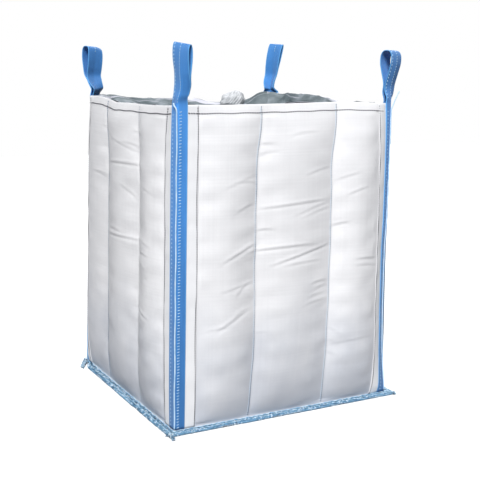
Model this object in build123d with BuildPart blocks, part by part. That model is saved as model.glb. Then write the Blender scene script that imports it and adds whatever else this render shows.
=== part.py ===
"""Baffled bulk bag: a square woven sack with four lifting loops and a tied top skirt.

Row frame: origin at the centre of the base, +Z up, the front wall faces -Y. Millimetres.
Each wall is pulled in along two baffle seams, so it stands in three upright pillows. The
corners carry a doubled strip, a folded strap and a lifting loop that hinges just above the rim.
"""

import os
from math import sqrt

from build123d import *

os.makedirs("parts", exist_ok=True)

# Driving dimensions
BASE_HALF = 450.0  # half the width of the base, at the bottom seam
RIM_HALF = 433.0  # half the width at the rim, where the corners are drawn in
RIM_Z = 1130.0  # height of the rim
FIN = 35.0  # the bottom seam's allowance, which stands out all round
SEAM_X = 150.0  # a baffle seam, from the middle of its wall
BAND = 75.0  # width of the doubled corner strip on each wall
STRAP = 35.0  # half the strap's width, on each wall
LOOP_TOP = 205.0  # top of a lifting loop above the rim

# Thicknesses, and the gap that keeps sewn layers apart
WALL_T = 2.0
BOTTOM_T = 3.0
BAND_T = 1.2
STRAP_T = 2.0
THREAD_T = 1.2
GAP = 0.3

# How far a full wall stands out from the straight line between its corners
BAND_RISE = 9.0
SEAM_RISE = 20.0
SIDE_CREST = 24.0  # a side pillow above the line from strip to seam
MIDDLE_CREST = 26.0  # the middle pillow above the line between the seams
LEAST_FULL = 0.04  # a pillow never quite closes, so that its arcs stay arcs

# Stacking of the layers outside the wall's face
BAND_OUT = GAP + BAND_T
STRAP_IN = BAND_OUT + GAP
STRAP_OUT = STRAP_IN + STRAP_T
THREAD_LIFT = 0.9  # a thread clears the curved cloth under it by this much

# The bottom seam
FLANGE_Z = BOTTOM_T + 0.2
FLANGE_TOP = FLANGE_Z + WALL_T
BINDING_Z = FLANGE_TOP + GAP
BINDING_T = 1.2
BINDING_WIDTH = 20.0

# The lifting loops
HINGE_Z = RIM_Z + 52.0
NECK_R = 2.8  # half the thickness of the pinched neck, where the two legs lie together
EYE_HALF = 38.0  # half the width of the eye's outside, at its widest
LOOP_T = 2.4
LOOP_WIDTH = 66.0
STRAP_TOP = HINGE_Z - 10.0
INNER_TAIL = 250.0  # how far the loop's inner leg is sewn down inside

WALL_STATIONS = [FLANGE_Z, 70.0, 150.0, 350.0, 565.0, 780.0, 980.0, 1060.0, RIM_Z]
WALLS = ["front", "right", "back", "left"]
CORNERS = ["front_left", "front_right", "back_right", "back_left"]


def half_width(z):
    """Half the bag's width between its corners at height z."""
    return BASE_HALF + (RIM_HALF - BASE_HALF) * min(z, RIM_Z) / RIM_Z


def fullness(z):
    """How full the pillows are at height z: 1 at mid height and almost 0 at the base and rim."""
    return max(LEAST_FULL, 1.0 - (2.0 * min(z, RIM_Z) / RIM_Z - 1.0) ** 6)


def strip_y(z, inset, out):
    """The front wall's flat corner strip: y at a distance inset from the corner."""
    return -(half_width(z) + BAND_RISE * fullness(z) * inset / BAND) - out


def flipped(point):
    """The same point on the other side of the front wall's middle."""
    return (-point[0], point[1])


def wall_points(z, out, trim):
    """The left half of the front wall's line at height z, a distance out from its face."""
    h, full = half_width(z), fullness(z)
    end = (-h - out, -h - out) if trim == 0.0 else (-h + trim, strip_y(z, trim, out))
    band = (-h + BAND, strip_y(z, BAND, out))
    seam = (-SEAM_X, -(h + SEAM_RISE * full) - out)
    side = ((band[0] + seam[0]) / 2, (band[1] + seam[1]) / 2 - SIDE_CREST * full)
    middle = (0.0, seam[1] - MIDDLE_CREST * full)
    return end, band, side, seam, middle


def wall_section(z, inner, outer, trim=0.0):
    """A slice through the front wall between two such lines, trimmed at both ends."""
    with BuildSketch(Plane.XY.offset(z)) as section:
        with BuildLine():
            for out in (inner, outer):
                end, band, side, seam, middle = wall_points(z, out, trim)
                Line(end, band)
                ThreePointArc(band, side, seam)
                ThreePointArc(seam, middle, flipped(seam))
                ThreePointArc(flipped(seam), flipped(side), flipped(band))
                Line(flipped(band), flipped(end))
            inner_end = wall_points(z, inner, trim)[0]
            Line(inner_end, end)
            Line(flipped(inner_end), flipped(end))
        make_face()
    return section.sketch.face()


def fold_section(z, reach, inner, outer):
    """A slice through cloth folded round the front left corner, reach wide on each wall."""
    h = half_width(z)
    start = (-h + reach, strip_y(z, reach, inner))
    finish = (-h + reach, strip_y(z, reach, outer))
    with BuildSketch(Plane.XY.offset(z)) as section:
        with BuildLine():
            Polyline(
                start,
                (-h - inner, -h - inner),
                (start[1], start[0]),
                (finish[1], finish[0]),
                (-h - outer, -h - outer),
                finish,
                close=True,
            )
        make_face()
    return section.sketch.face()


def corner_point(outward, across):
    """A point near the front left corner of the rim, outward along the diagonal and across it."""
    return (
        -RIM_HALF + (across - outward) / sqrt(2),
        -RIM_HALF - (across + outward) / sqrt(2),
    )


def leg_section(z, apex, wing, reach, thickness):
    """A slice through a loop's leg: a shallow vee with its fold at apex and its edges at wing."""
    with BuildSketch(Plane.XY.offset(z)) as section:
        with BuildLine():
            Polyline(
                corner_point(wing, reach),
                corner_point(apex, 0.0),
                corner_point(wing, -reach),
                corner_point(wing + thickness, -reach),
                corner_point(apex + thickness, 0.0),
                corner_point(wing + thickness, reach),
                close=True,
            )
        make_face()
    return section.sketch.face()


def thread_section(z, inset, y, width):
    """A slice through an upright run of thread, inset from the front left corner."""
    with BuildSketch(Plane.XY.offset(z)) as section:
        with Locations((-half_width(z) + inset, y - THREAD_T / 2)):
            Rectangle(width, THREAD_T)
    return section.sketch.face()


def mitred_section(outer, inner):
    """A strip along the front edge of a square, with mitred ends."""
    with BuildSketch() as section:
        with BuildLine():
            Polyline(
                (-outer, -outer), (outer, -outer), (inner, -inner), (-inner, -inner), close=True
            )
        make_face()
    return section.sketch


def write(part, name, turn=0.0):
    """Writes a part, turned about +Z, as one node."""
    piece = part.rotate(Axis.Z, turn)
    piece.label = name
    export_step(piece, f"parts/{name}.step")


def write_ring(part, names, pattern):
    """Writes four copies of a part, a quarter turn apart, each as its own node."""
    for index, name in enumerate(names):
        write(part, pattern.format(name), 90.0 * index)


def write_group(part, name):
    """Writes four copies of a part, a quarter turn apart, together as one node."""
    copies = [solid for turn in range(4) for solid in part.rotate(Axis.Z, 90.0 * turn).solids()]
    group = Compound(children=copies, label=name)
    export_step(group, f"parts/{name}.step")


# Wall panel: three pillows, with a flange at the foot that is sewn to the bottom panel
with BuildPart() as wall:
    loft([wall_section(z, -WALL_T, 0.0) for z in WALL_STATIONS])
    with Locations((0, 0, FLANGE_Z)):
        add(mitred_section(BASE_HALF + FIN, BASE_HALF - WALL_T))
    extrude(amount=WALL_T)
write_ring(wall.part, WALLS, "{}_panel")

# Bottom panel: one flat square, its edge sewn under the wall flanges
with BuildPart() as bottom:
    with BuildSketch():
        Rectangle(2 * (BASE_HALF + FIN), 2 * (BASE_HALF + FIN))
    extrude(amount=BOTTOM_T)
write(bottom.part, "bottom_panel")

# Bottom binding: overlocked edging over the flange and down the edge of the seam
EDGE = BASE_HALF + FIN + GAP
with BuildPart() as binding:
    add(mitred_section(EDGE + BINDING_T, EDGE + BINDING_T - BINDING_WIDTH))
    extrude(amount=BINDING_Z + BINDING_T)
    with BuildSketch():
        Rectangle(2 * EDGE, 2 * EDGE)
    extrude(amount=BINDING_Z, mode=Mode.SUBTRACT)
write_ring(binding.part, WALLS, "bottom_binding_{}")

# Corner reinforcement: a strip of cloth folded round the corner under the strap
REINFORCEMENT_FOOT = BINDING_Z + 1.0
STRIP_STATIONS = [REINFORCEMENT_FOOT, 70.0, 150.0, 350.0, 565.0, 780.0, 980.0, 1060.0, RIM_Z]
with BuildPart() as reinforcement:
    loft([fold_section(z, BAND, GAP, BAND_OUT) for z in STRIP_STATIONS])
write_ring(reinforcement.part, CORNERS, "corner_reinforcement_{}")

# Corner strap: the loop's outer leg, folded round the corner and flattening above the rim
RIM_WING = (2 * STRAP_IN - STRAP) / sqrt(2)
RIM_REACH = STRAP / sqrt(2)
FLAT_REACH = LOOP_WIDTH / 2
CREASE = 4.0  # the webbing keeps a little of its fold above the rim
with BuildPart() as strap:
    loft([fold_section(z, STRAP, STRAP_IN, STRAP_OUT) for z in STRIP_STATIONS])
    at_rim = leg_section(RIM_Z, STRAP_IN * sqrt(2), RIM_WING, RIM_REACH, STRAP_T * sqrt(2))
    loft([at_rim, leg_section(STRAP_TOP, CREASE, GAP / 2, FLAT_REACH, STRAP_T)])
write_ring(strap.part, CORNERS, "corner_strap_{}")

# Inner leg: the other end of the loop's webbing, sewn down inside the corner
INNER_APEX = -(WALL_T + GAP + STRAP_T) * sqrt(2)
INNER_WING = INNER_APEX - STRAP / sqrt(2)
with BuildPart() as inner_leg:
    sewn = [
        leg_section(z, INNER_APEX, INNER_WING, RIM_REACH, STRAP_T * sqrt(2))
        for z in (RIM_Z - INNER_TAIL, RIM_Z)
    ]
    loft(sewn)
    nested = leg_section(
        STRAP_TOP, CREASE - GAP - STRAP_T, -GAP / 2 - STRAP_T, FLAT_REACH, STRAP_T
    )
    loft([sewn[1], nested])
write_ring(inner_leg.part, CORNERS, "inner_leg_{}")

# Lifting loop: a teardrop of webbing that turns about the pinch at its neck
OUTWARD = Vector(-1, -1, 0).normalized()
ACROSS = Vector(1, -1, 0).normalized()
LOOP_PLANE = Plane(
    origin=(-RIM_HALF, -RIM_HALF, HINGE_Z), x_dir=OUTWARD, z_dir=ACROSS * -1
)
LOOP_RISE = RIM_Z + LOOP_TOP - HINGE_Z
OUTSIDE = [(NECK_R, 0), (7.0, 25), (24, 62), (EYE_HALF, 100), (26, 138), (0, LOOP_RISE)]
INSIDE = [(0, 17), (4.6, 26), (21.7, 63), (EYE_HALF - LOOP_T, 100), (24, 137)]
with BuildPart() as loop:
    with BuildSketch(LOOP_PLANE):
        with BuildLine():
            Spline(OUTSIDE, tangents=((0, 1), (-1, 0)))
            RadiusArc((0, -NECK_R), (NECK_R, 0), -NECK_R)
            mirror(about=Plane.YZ)
        make_face()
    extrude(amount=LOOP_WIDTH / 2, both=True)
    with BuildSketch(LOOP_PLANE):
        with BuildLine():
            Spline([*INSIDE, (0, LOOP_RISE - LOOP_T)], tangents=((0.3, 1), (-1, 0)))
            mirror(about=Plane.YZ)
        make_face()
    extrude(amount=LOOP_WIDTH / 2, both=True, mode=Mode.SUBTRACT)
write_ring(loop.part, CORNERS, "lifting_loop_{}")

# Corner piping: a round cord sewn along the fold of the strap
PIPING_R = 2.5
PIPING_OUT = STRAP_OUT + (PIPING_R + GAP) / sqrt(2) + 0.2
PIPING_FOOT = BINDING_Z + BINDING_T + PIPING_R
with BuildPart() as piping:
    for z in (PIPING_FOOT, RIM_Z):
        with BuildSketch(Plane.XY.offset(z)):
            with Locations((-half_width(z) - PIPING_OUT, -half_width(z) - PIPING_OUT)):
                Circle(PIPING_R)
    loft()
write_ring(piping.part, CORNERS, "corner_piping_{}")

# Baffles: panels across the corners inside, with flow holes, which hold the walls square
BAFFLE_T = 1.5
BAFFLE_FOOT = 60.0
BAFFLE_TOP = RIM_Z - 110.0
HOLE_R = 55.0
HOLE_PITCH = 190.0
HOLE_ROWS = 5
BAFFLE_STATIONS = [BAFFLE_FOOT, 150.0, 350.0, 565.0, 780.0, 940.0, BAFFLE_TOP]
with BuildPart() as baffle:
    for z in BAFFLE_STATIONS:
        edge = half_width(z) + SEAM_RISE * fullness(z) - WALL_T - GAP
        side = BAFFLE_T / sqrt(2)
        with BuildSketch(Plane.XY.offset(z)):
            with BuildLine():
                Polyline(
                    (-SEAM_X, -edge),
                    (-edge, -SEAM_X),
                    (-edge + side, -SEAM_X + side),
                    (-SEAM_X + side, -edge + side),
                    close=True,
                )
            make_face()
    loft()
    middle_z = (BAFFLE_FOOT + BAFFLE_TOP) / 2
    with BuildSketch(Plane(origin=(0, 0, middle_z), x_dir=ACROSS, z_dir=OUTWARD)):
        with GridLocations(HOLE_PITCH, HOLE_PITCH, 2, HOLE_ROWS):
            Circle(HOLE_R)
    extrude(amount=2 * BASE_HALF, mode=Mode.SUBTRACT)
write_ring(baffle.part, CORNERS, "baffle_{}")

# Top skirt: sewn inside the rim, gathered to the middle, tied, with a tuft above the tie
SKIRT_T = 2.0
SKIRT_HALF = half_width(RIM_Z) - WALL_T - 0.5
SKIRT_CORNER = 60.0  # the skirt stops short of the loops' inner legs
SKIRT_DROP = 40.0
NECK_RADIUS = 28.0
TUFT_TOP = 34.0
TIE_LOW, TIE_HIGH = -36.0, -20.0
with BuildPart() as skirt:
    with BuildSketch(Plane.XZ):
        with BuildLine():
            hang = Spline(
                (640, RIM_Z - SKIRT_DROP),
                (430, RIM_Z - SKIRT_DROP),
                (260, RIM_Z - 84),
                (120, RIM_Z - 76),
                (NECK_RADIUS, RIM_Z + TIE_LOW - 2),
            )
            Line(hang @ 1, (NECK_RADIUS, RIM_Z + TIE_HIGH + 2))
            tuft = Spline(
                (NECK_RADIUS, RIM_Z + TIE_HIGH + 2),
                (47, RIM_Z + 4),
                (32, RIM_Z + 28),
                (0, RIM_Z + TUFT_TOP),
                tangents=((1, 1), (-1, 0)),
            )
            Line(tuft @ 1, (0, RIM_Z + TIE_LOW - 8))
            under = Spline(
                (0, RIM_Z + TIE_LOW - 8),
                (120, RIM_Z - 76 - SKIRT_T),
                (260, RIM_Z - 84 - SKIRT_T),
                (430, RIM_Z - SKIRT_DROP - SKIRT_T),
                (640, RIM_Z - SKIRT_DROP - SKIRT_T),
            )
            Line(under @ 1, hang @ 0)
        make_face()
    revolve(axis=Axis.Z)
    with BuildSketch(Plane.XY.offset(RIM_Z - 200)):
        square = Rectangle(2 * SKIRT_HALF, 2 * SKIRT_HALF)
        chamfer(square.vertices(), SKIRT_CORNER)
    extrude(amount=300, mode=Mode.INTERSECT)
write(skirt.part, "top_skirt")

# Skirt tie: a flat tape wound round the neck, with its knot
TIE_IN = NECK_RADIUS + GAP
TIE_T = 4.0
with BuildPart() as tie:
    with BuildSketch(Plane.XY.offset(RIM_Z + TIE_LOW)):
        Circle(TIE_IN + TIE_T)
        Circle(TIE_IN, mode=Mode.SUBTRACT)
    extrude(amount=TIE_HIGH - TIE_LOW)
    fillet(tie.edges().filter_by(GeomType.CIRCLE).group_by(SortBy.RADIUS)[-1], 1.5)
    with Locations((0, -TIE_IN - TIE_T - 3, RIM_Z + (TIE_LOW + TIE_HIGH) / 2)):
        Box(16, 10, 13)
    fillet(tie.faces().sort_by(Axis.Y)[0].edges(), 3)
write(tie.part, "skirt_tie")

# Threads. Hem thread: one run along each wall, under the rim
THREAD = 3.0
HEM_Z = RIM_Z - 26.0
HEM_TRIM = BAND + 2.0
with BuildPart() as hem_thread:
    add(wall_section(HEM_Z, THREAD_LIFT, THREAD_LIFT + THREAD_T, BAND - 1.0))
    extrude(amount=THREAD)
    with BuildSketch(Plane.XY.offset(HEM_Z)):
        Rectangle(2 * (half_width(HEM_Z) - HEM_TRIM), 4 * BASE_HALF)
    extrude(amount=THREAD, mode=Mode.INTERSECT)
write_group(hem_thread.part, "hem_stitching")

# Baffle seams: the two upright seams of each wall
THREAD_STATIONS = [12.0, *WALL_STATIONS[1:-1], HEM_Z - 2.0]
with BuildPart() as left_seam:
    loft(
        [
            thread_section(
                z, half_width(z) - SEAM_X, wall_points(z, THREAD_LIFT, 0.0)[3][1], THREAD
            )
            for z in THREAD_STATIONS
        ]
    )
with BuildPart() as baffle_seams:
    add(left_seam.part)
    add(left_seam.part.mirror(Plane.YZ))
write_group(baffle_seams.part, "baffle_seam_stitching")

# Strip edges: the runs that hold the corner reinforcement, one on each side of a corner
EDGE_INSET = BAND - 4.0
with BuildPart() as strip_edge:
    loft(
        [
            thread_section(z, EDGE_INSET, strip_y(z, EDGE_INSET, BAND_OUT + THREAD_LIFT), THREAD)
            for z in THREAD_STATIONS
        ]
    )
with BuildPart() as strip_edges:
    add(strip_edge.part)
    add(strip_edge.part.mirror(Plane.YZ))
write_group(strip_edges.part, "reinforcement_stitching")

# Strap thread: a ladder stitch on each side of the fold of every strap
LADDER_INSET = 10.0
LADDER_WIDTH = 6.0
with BuildPart() as ladder:
    loft(
        [
            thread_section(
                z, LADDER_INSET, strip_y(z, LADDER_INSET, STRAP_OUT + THREAD_LIFT), LADDER_WIDTH
            )
            for z in THREAD_STATIONS
        ]
    )
with BuildPart() as ladders:
    add(ladder.part)
    add(ladder.part.mirror(Plane.YZ))
write_group(ladders.part, "strap_stitching")
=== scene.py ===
"""The looks of the bulk bag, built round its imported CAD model. Metres, in the CAD's own frame."""

import math

import bmesh
import bpy
import numpy as np
from mathutils import Matrix, Vector


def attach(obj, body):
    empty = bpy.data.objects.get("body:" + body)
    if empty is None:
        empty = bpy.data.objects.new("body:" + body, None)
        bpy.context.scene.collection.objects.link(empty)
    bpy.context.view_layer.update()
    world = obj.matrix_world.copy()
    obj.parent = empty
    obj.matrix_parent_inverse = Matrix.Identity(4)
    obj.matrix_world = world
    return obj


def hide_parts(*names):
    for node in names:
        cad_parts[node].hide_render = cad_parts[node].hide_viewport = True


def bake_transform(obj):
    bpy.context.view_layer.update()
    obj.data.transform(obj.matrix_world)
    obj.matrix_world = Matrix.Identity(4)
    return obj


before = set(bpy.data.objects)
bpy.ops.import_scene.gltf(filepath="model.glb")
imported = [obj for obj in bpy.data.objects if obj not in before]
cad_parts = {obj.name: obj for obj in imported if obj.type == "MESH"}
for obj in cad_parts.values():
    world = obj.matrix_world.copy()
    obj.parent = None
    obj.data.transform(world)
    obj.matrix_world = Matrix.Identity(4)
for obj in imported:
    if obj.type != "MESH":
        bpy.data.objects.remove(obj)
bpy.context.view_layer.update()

# Sizes that the CAD model has too
BASE_HALF, RIM_HALF, RIM_Z = 0.450, 0.433, 1.130
FIN, BAND, STRAP = 0.035, 0.075, 0.035
HINGE_Z, HINGE_R = RIM_Z + 0.052, RIM_HALF * math.sqrt(2)
SEAMS = (-0.144, 0.170)  # where a wall's two baffle seams run, from its middle
SEAM_TOP = [0.028, 0.012, -0.010, -0.034]  # how far they lean to one side at the rim
SEAM_FOOT = [-0.017, 0.006, 0.008, -0.015]  # and at the foot
RIM_OUT = [0.002, 0.010, 0.008, 0.014]  # how far each side of the rim is pushed out

# How far the cloth stands out, and how it lies round each corner
SEAM_RISE, SIDE_CREST, MIDDLE_CREST = 0.020, 0.024, 0.027
PILLOW = 2.6  # a pillow is flatter along its crest than an arc, and steeper by its seams
WALLS = ["front", "right", "back", "left"]
CORNERS = ["front_left", "front_right", "back_right", "back_left"]
DRAWN_Z = [0.0, 0.05, 0.11, 0.19, 0.35, 0.51, 0.59, 0.69, 0.83, 1.00, RIM_Z]
DRAWN = [  # how far a corner is drawn in at those heights
    [0] * 11,
    [-0.001, 0.001, 0.005, 0.0080, 0.009, 0.008, 0.007, 0.003, 0.0005, -0.002, -0.003],
    [0, 0.002, 0.004, 0.006, 0.006, 0.006, 0.006, 0.005, 0.004, 0.002, 0],
    [0.001, 0.003, 0.005, 0.0065, 0.011, 0.013, 0.0145, 0.015, 0.0155, 0.0165, 0.019],
]
FOLD_R = [0.005, 0.003, 0.003, 0.003]  # radius of its fold
FOLD_START = [radius * (1 - math.sqrt(0.5)) for radius in FOLD_R]  # how far in its crest is
RISE = [(0.009, 0.009), (0.038, 0.056), (0.036, 0.036), (0.036, 0.029)]  # of its strips
OPEN_TOP = [0, 0.60, 0.45, 0.35]  # how much of that rise is left at the rim
BOW = [0, 0.13, 0.28, 0.15]  # how much of it comes close by the corner
SIDE_FULL = [(1, 1), (1, 1), (1, 1), (0.3, 1)]  # of each wall's two side pillows
RIM_LIFT = [
    [(0, 0), (0.2, -0.0015), (0.53, 0.002), (0.79, 0.0066), (0.95, 0), (1, 0)],
    [(0, 0), (0.336, -0.012), (0.537, 0.008), (0.652, 0.015), (0.9, 0.004), (1, 0.012)],
    [(0, 0.012), (0.043, 0.014), (0.156, -0.028), (0.34, -0.033), (0.442, -0.013),
     (0.654, -0.014), (0.821, -0.010), (0.903, 0.006), (1, 0)],
    [(0, 0), (0.19, 0.003), (0.31, -0.006), (0.38, -0.014), (0.575, -0.010), (0.70, -0.0115),
     (0.95, -0.005), (1, 0)],
]

WALL_T, STRIP_T, WEB_T = 0.0016, 0.0012, 0.0024  # thicknesses
WALL_MID, STRIP_MID, WEB_MID = -0.0010, 0.0009, 0.0029  # how far out the middle of each layer lies
WEB_INSIDE = -0.0078  # and that of the webbing's inner leg
UP = np.array([0.0, 0.0, 1.0])
RIGHT = np.array([0.877, -0.480, 0.0])  # to the right, seen from the front left


def smooth(x):
    x = np.clip(x, 0, 1)
    return x * x * (3 - 2 * x)


def unit(vectors):
    return vectors / np.linalg.norm(vectors, axis=-1, keepdims=True)


def lengths(path):
    """How far along a path each of its points is."""
    return np.concatenate([[0], np.cumsum(np.linalg.norm(np.diff(path, axis=0), axis=-1))])


def circle(count):
    return np.linspace(0, 2 * math.pi, count, endpoint=False)


def half_width(z):
    return BASE_HALF + (RIM_HALF - BASE_HALF) * np.clip(z, 0, RIM_Z) / RIM_Z


def fullness(z):
    return np.maximum(0.02, 1 - np.abs(2 * np.clip(z, 0, RIM_Z) / RIM_Z - 1) ** 6)


def waves(x, y, seed, scale, count=24):
    """Smooth noise of about unit size; scale is the length of its waves in metres."""
    rng = np.random.default_rng(seed)
    total = np.zeros(np.broadcast(x, y).shape)
    for _ in range(count):
        kx, ky = rng.normal(0, 1 / scale, 2)
        total = total + np.sin(kx * x + ky * y + rng.uniform(0, 6.28))
    return total * math.sqrt(2 / count)


def corner_half(corner, z):
    return half_width(z) - np.interp(z, DRAWN_Z, DRAWN[corner])


def corner_full(corner, z):
    full = fullness(z)
    return full + OPEN_TOP[corner] * (1 - full) * (z > RIM_Z / 2)


def seam_at(wall, side, z):
    """Where a baffle seam crosses height z: it wanders a little."""
    wander = 0.0022 * np.sin(z * 9 + 2.1 * wall + 1.3 * side) + 0.0010 * np.sin(z * 31 + side)
    wander = wander + SEAM_TOP[wall] * smooth((z - 0.88) / 0.25)
    return SEAMS[side] + wander + SEAM_FOOT[wall] * smooth((0.42 - z) / 0.42)


def wall_out(wall, a, z):
    """How far the outer face of a wall stands from the bag's middle, at a along it and height z."""
    left, right = wall, (wall + 1) % 4
    h, full = half_width(z), fullness(z)
    h_left, h_right = corner_half(left, z), corner_half(right, z)
    s_left, s_right = seam_at(wall, 0, z), seam_at(wall, 1, z)
    seam = h + SEAM_RISE * full
    middle = (2 * a - s_left - s_right) / (s_right - s_left)
    out = seam + MIDDLE_CREST * full * (1 - np.abs(middle) ** PILLOW)
    for inset, h_end, band_gap, corner, rise, crest in (
        (a + h_left, h_left, s_left + h_left, left, RISE[left][1], SIDE_FULL[wall][0]),
        (h_right - a, h_right, h_right - s_right, right, RISE[right][0], SIDE_FULL[wall][1]),
    ):
        risen = corner_full(corner, z)
        band = h + rise * risen
        q = np.clip((inset - BAND) / (band_gap - BAND), 0, 1)
        side = band + (seam - band) * q
        side = side + SIDE_CREST * crest * full * (1 - np.abs(2 * q - 1) ** PILLOW)
        out = np.where(inset < band_gap, side, out)
        radius, start = FOLD_R[corner], FOLD_START[corner]
        q = np.clip((inset - start) / (BAND - start), 0, 1)
        bow = BOW[corner] / np.maximum(risen, 0.35) ** 1.3
        cut = radius - np.sqrt(np.maximum(0, radius**2 - np.clip(radius - inset, 0, radius) ** 2))
        strip = h_end + (band - h_end) * (q + bow * 4 * q * (1 - q)) - cut
        out = np.where(inset < BAND, strip, out)
    return out


def rim_lift(wall, a, z):
    """The rim isn't level: how much it lifts or sags at a along a wall, less further down."""
    t, lift = zip(*RIM_LIFT[wall])
    fine = np.linspace(0, 1, 201)
    level = np.convolve(np.pad(np.interp(fine, t, lift), 8, mode="edge"), np.ones(17) / 17, "valid")
    h = half_width(z)
    return np.interp((a + h) / (2 * h), fine, level) * smooth((z - RIM_Z + 0.16) / 0.16)


def turned(points, quarters):
    x, y, z = np.moveaxis(np.asarray(points, float), -1, 0)
    for _ in range(quarters % 4):
        x, y = -y, x
    return np.stack([x, y, z], -1)


def on_wall(wall, a, z, out=0.0):
    """A point of a wall's outer face, in the row frame."""
    a, z = np.broadcast_arrays(np.asarray(a, float), np.asarray(z, float))
    above = smooth((z - 0.95) / 0.18)
    edge = smooth((half_width(z) - np.abs(a) - BAND) / 0.06)
    rim = 0.0025 * waves(a, a * 0 + wall, 40 + wall, 0.07) * edge
    pushed = RIM_OUT[wall] * np.maximum(0, 1 - ((np.abs(a) + BAND) / RIM_HALF) ** 2)
    n = wall_out(wall, a, z) + out + (rim + pushed) * above
    return turned(np.stack([a, -n, z + rim_lift(wall, a, z)], -1), wall)


# Tables of the four corners: points at distances U from the fold, round the corner, at heights Z
U_TABLE = np.linspace(-0.086, 0.086, 173)
Z_TABLE = np.concatenate([np.linspace(0.004, RIM_Z, 142), [RIM_Z + 0.06]])


def corner_table(corner):
    before, after = (corner - 1) % 4, corner
    steps = np.concatenate([np.linspace(0, 0.03, 31), np.linspace(0.033, 0.125, 40)])
    inset = FOLD_START[corner] + steps
    h = corner_half(corner, Z_TABLE)[:, None]
    z = np.minimum(np.broadcast_to(Z_TABLE[:, None], (len(Z_TABLE), len(inset))), RIM_Z)
    left = on_wall(before, h - inset, z)
    right = on_wall(after, inset - h, z)
    for side in (left, right):
        side[..., 2] += Z_TABLE[:, None] - z
    fold = (left[:, 0] + right[:, 0]) / 2
    line = np.concatenate([left[:, :0:-1], fold[:, None], right[:, 1:]], 1)
    step = np.linalg.norm(np.diff(line[..., :2], axis=1), axis=-1)
    length = np.concatenate([np.zeros((len(step), 1)), np.cumsum(step, 1)], 1)
    length -= length[:, len(inset) - 1 : len(inset)]
    points = np.array(
        [[np.interp(U_TABLE, s, row[:, i]) for i in range(3)] for s, row in zip(length, line)]
    ).transpose(0, 2, 1)
    along = np.gradient(points[..., :2], axis=1)
    facing = np.stack([along[..., 1], -along[..., 0], np.zeros(along.shape[:2])], -1)
    return points, unit(facing)


CORNER_TABLES = [corner_table(c) for c in range(4)]


def on_corner(corner, u, z, out=0.0):
    """Points round a corner's fold and the way they face: u is the distance from the fold."""
    u, z = np.broadcast_arrays(np.asarray(u, float), np.asarray(z, float))
    fu = np.clip(np.interp(u, U_TABLE, np.arange(len(U_TABLE))), 0, len(U_TABLE) - 1.001)
    fz = np.clip(np.interp(z, Z_TABLE, np.arange(len(Z_TABLE))), 0, len(Z_TABLE) - 1.001)
    iu, iz = fu.astype(int), fz.astype(int)
    du, dz = (fu - iu)[..., None], (fz - iz)[..., None]
    result = []
    for table in CORNER_TABLES[corner]:
        low = table[iz, iu] * (1 - du) + table[iz, iu + 1] * du
        high = table[iz + 1, iu] * (1 - du) + table[iz + 1, iu + 1] * du
        result.append(low * (1 - dz) + high * dz)
    points, normal = result
    return points + normal * np.asarray(out)[..., None], normal


# Meshes


def make_object(name, vertices, faces, uv=None, material=None, closed=False):
    mesh = bpy.data.meshes.new(name)
    mesh.from_pydata(np.asarray(vertices, float).reshape(-1, 3).tolist(), [], faces)
    if uv is not None:
        corners = np.empty(len(mesh.loops), int)
        mesh.loops.foreach_get("vertex_index", corners)
        layer = mesh.uv_layers.new(name="UVMap")
        layer.data.foreach_set("uv", np.asarray(uv, float).reshape(-1, 2)[corners].ravel())
    if closed:
        bm = bmesh.new()
        bm.from_mesh(mesh)
        bmesh.ops.recalc_face_normals(bm, faces=bm.faces)
        bm.to_mesh(mesh)
        bm.free()
    mesh.polygons.foreach_set("use_smooth", [True] * len(mesh.polygons))
    if material:
        mesh.materials.append(material)
    obj = bpy.data.objects.new(name, mesh)
    bpy.context.scene.collection.objects.link(obj)
    return obj


def grid_faces(rows, cols, wrap=False):
    index = np.arange(rows * cols).reshape(rows, cols)
    if wrap:
        index = np.concatenate([index, index[:, :1]], 1)
    quads = np.stack([index[:-1, :-1], index[:-1, 1:], index[1:, 1:], index[1:, :-1]], -1)
    return quads.reshape(-1, 4)


def add_thickness(obj, thickness):
    solid = obj.modifiers.new("thickness", "SOLIDIFY")
    solid.thickness, solid.offset = thickness, 0


def sheet_object(name, points, uv, material, thickness, wrap=False):
    """A sheet of cloth from a grid of points, given its thickness by a Solidify modifier."""
    faces = grid_faces(*points.shape[:2], wrap).tolist()
    obj = make_object(name, points, faces, uv, material)
    add_thickness(obj, thickness)
    return obj


def grid_uv(points):
    """Texture coordinates in metres of cloth: lengths along the middle row and column."""
    rows, cols = points.shape[:2]
    u, v = lengths(points[rows // 2]), lengths(points[:, cols // 2])
    return np.stack(np.meshgrid(u, v), -1)


def loft_faces(rings, sides, first=0):
    faces = (grid_faces(rings, sides, wrap=True) + first).tolist()
    faces.append((np.arange(sides)[::-1] + first).tolist())
    faces.append((np.arange(sides) + first + (rings - 1) * sides).tolist())
    return faces


def tube_rings(path, radius, sides):
    """Rings of points round a path, each turned as little as possible from the last."""
    tangent = unit(np.gradient(path, axis=0))
    side = np.cross(tangent[0], UP)
    if np.linalg.norm(side) < 1e-3:
        side = np.cross(tangent[0], (1.0, 0.0, 0.0))
    angle = circle(sides)
    cos, sin = np.cos(angle)[:, None], np.sin(angle)[:, None]
    rings = []
    for point, t in zip(path, tangent):
        side = unit(side - t * np.dot(side, t))
        rings.append(point + radius * (cos * side + sin * np.cross(t, side)))
    return np.array(rings)


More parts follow.
